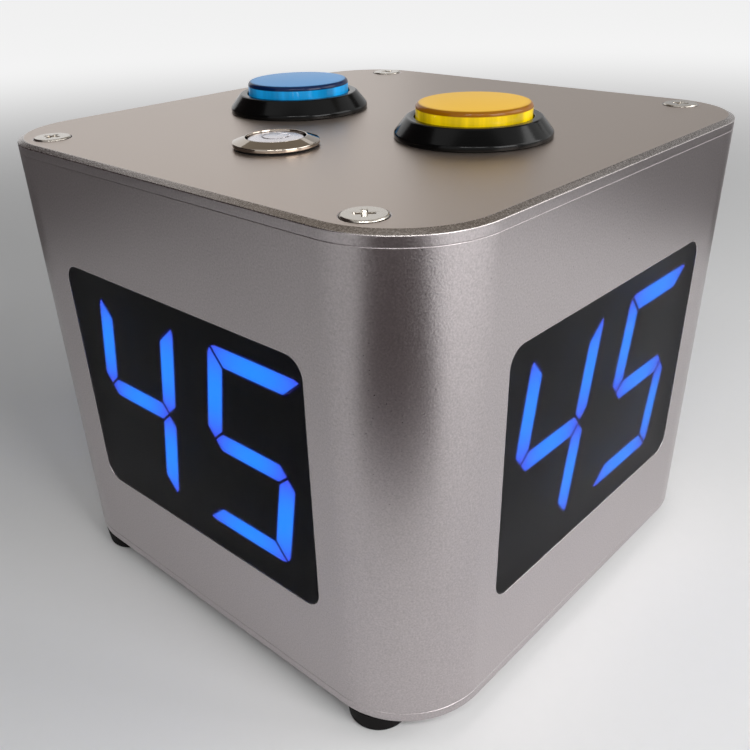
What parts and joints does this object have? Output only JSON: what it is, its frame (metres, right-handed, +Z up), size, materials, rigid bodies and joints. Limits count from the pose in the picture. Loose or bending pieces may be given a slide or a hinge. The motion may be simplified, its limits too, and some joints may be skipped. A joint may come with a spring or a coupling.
{
  "type": "countdown timer",
  "caption": "Square aluminium table timer with lit two-digit displays on its sides and two large push buttons and a power button on top.",
  "frame": {"origin": "on the table, under the middle of the square body", "axes": "+Z up, -Y is the front, the side nearest the power button, +X to the right seen from the front"},
  "size_m": [0.125, 0.125, 0.1156],
  "materials": {
    "anodised_aluminium": "bead-blasted, clear anodised, warm grey",
    "nickel_plated_steel": "bright nickel",
    "polished_steel": "polished",
    "spring_steel": "bare wire and strip",
    "black_rubber": "moulded, matt",
    "smoked_acrylic": "clear, dark tinted, polished",
    "display_shell": "black front",
    "lit_epoxy": "translucent, lit from behind",
    "dark_epoxy": "translucent, not lit",
    "gloss_black_plastic": "moulded, glossy",
    "black_plastic": "moulded",
    "blue_cap": "translucent blue, polished",
    "yellow_cap": "translucent amber yellow, polished",
    "milky_plastic": "translucent white",
    "red_plastic": "moulded",
    "circuit_board": "solder resist over fibreglass",
    "cell_wrap": "shrink wrap over a steel can"
  },
  "bodies": {
    "case": {"body_sleeve": "anodised_aluminium", "top_plate": "anodised_aluminium", "base_plate": "anodised_aluminium", "lid_screws": "nickel_plated_steel", "foot_screws": "nickel_plated_steel", "rubber_feet": "black_rubber", "window_front": "smoked_acrylic", "window_right": "smoked_acrylic", "window_back": "smoked_acrylic", "window_left": "smoked_acrylic", "display_frame_front": "black_plastic", "display_frame_right": "black_plastic", "display_frame_back": "black_plastic", "display_frame_left": "black_plastic", "display_module_front": "display_shell", "display_module_right": "display_shell", "display_module_back": "display_shell", "display_module_left": "display_shell", "lit_segments_front": "lit_epoxy", "lit_segments_right": "lit_epoxy", "lit_segments_back": "lit_epoxy", "lit_segments_left": "lit_epoxy", "display_board_front": "circuit_board", "display_board_right": "circuit_board", "display_board_back": "circuit_board", "display_board_left": "circuit_board", "unlit_segments": "dark_epoxy", "blue_button_housing": "gloss_black_plastic", "blue_button_nut": "gloss_black_plastic", "blue_button_spring": "spring_steel", "blue_button_lamp": "milky_plastic", "blue_switch_body": "black_plastic", "yellow_button_housing": "gloss_black_plastic", "yellow_button_nut": "gloss_black_plastic", "yellow_button_spring": "spring_steel", "yellow_button_lamp": "milky_plastic", "yellow_switch_body": "black_plastic", "power_button_body": "polished_steel", "power_button_spring": "spring_steel", "power_button_seal": "black_rubber", "power_button_nut": "nickel_plated_steel", "power_button_terminals": "black_plastic", "main_board": "circuit_board", "board_standoffs": "nickel_plated_steel", "board_screws": "nickel_plated_steel", "charge_socket": "nickel_plated_steel", "buzzer": "black_plastic", "battery_holder": "black_plastic", "battery_contacts": "nickel_plated_steel", "battery_cells": "cell_wrap"},
    "blue_plunger": {"blue_button_cap": "blue_cap", "blue_button_plunger": "milky_plastic"},
    "blue_lever": {"blue_switch_lever": "spring_steel"},
    "blue_pin": {"blue_switch_pin": "red_plastic"},
    "yellow_plunger": {"yellow_button_cap": "yellow_cap", "yellow_button_plunger": "milky_plastic"},
    "yellow_lever": {"yellow_switch_lever": "spring_steel"},
    "yellow_pin": {"yellow_switch_pin": "red_plastic"},
    "power_plunger": {"power_button_cap": "polished_steel"}
  },
  "joints": [
    {"name": "blue_button_press", "type": "slide", "parent": "case", "child": "blue_plunger", "axis": [0, 0, -1], "range_m": [0, 0.003], "stiffness_N_per_m": 300, "springref_m": -0.002, "deforming": ["blue_button_spring"]},
    {"name": "blue_lever_hinge", "type": "hinge", "parent": "case", "child": "blue_lever", "pos_m": [-0.0261, -0.0105, 0.0773], "axis": [-1, 0, 0], "range_deg": [0, 9.05]},
    {"name": "blue_pin_slide", "type": "slide", "parent": "case", "child": "blue_pin", "axis": [0, 0, -1], "range_m": [0, 0.00106]},
    {"name": "yellow_button_press", "type": "slide", "parent": "case", "child": "yellow_plunger", "axis": [0, 0, -1], "range_m": [0, 0.003], "stiffness_N_per_m": 300, "springref_m": -0.002, "deforming": ["yellow_button_spring"]},
    {"name": "yellow_lever_hinge", "type": "hinge", "parent": "case", "child": "yellow_lever", "pos_m": [0.0261, -0.0105, 0.0773], "axis": [-1, 0, 0], "range_deg": [0, 9.05]},
    {"name": "yellow_pin_slide", "type": "slide", "parent": "case", "child": "yellow_pin", "axis": [0, 0, -1], "range_m": [0, 0.00106]},
    {"name": "power_button_press", "type": "slide", "parent": "case", "child": "power_plunger", "axis": [0, 0, -1], "range_m": [0, 0.0012], "stiffness_N_per_m": 800, "springref_m": -0.001, "deforming": ["power_button_spring"]}
  ],
  "couplings": [
    {"joint": "blue_lever_hinge", "follows": "blue_button_press", "rad_per_m": 52.646},
    {"joint": "blue_pin_slide", "follows": "blue_button_press", "ratio": 0.353},
    {"joint": "yellow_lever_hinge", "follows": "yellow_button_press", "rad_per_m": 52.646},
    {"joint": "yellow_pin_slide", "follows": "yellow_button_press", "ratio": 0.353}
  ]
}
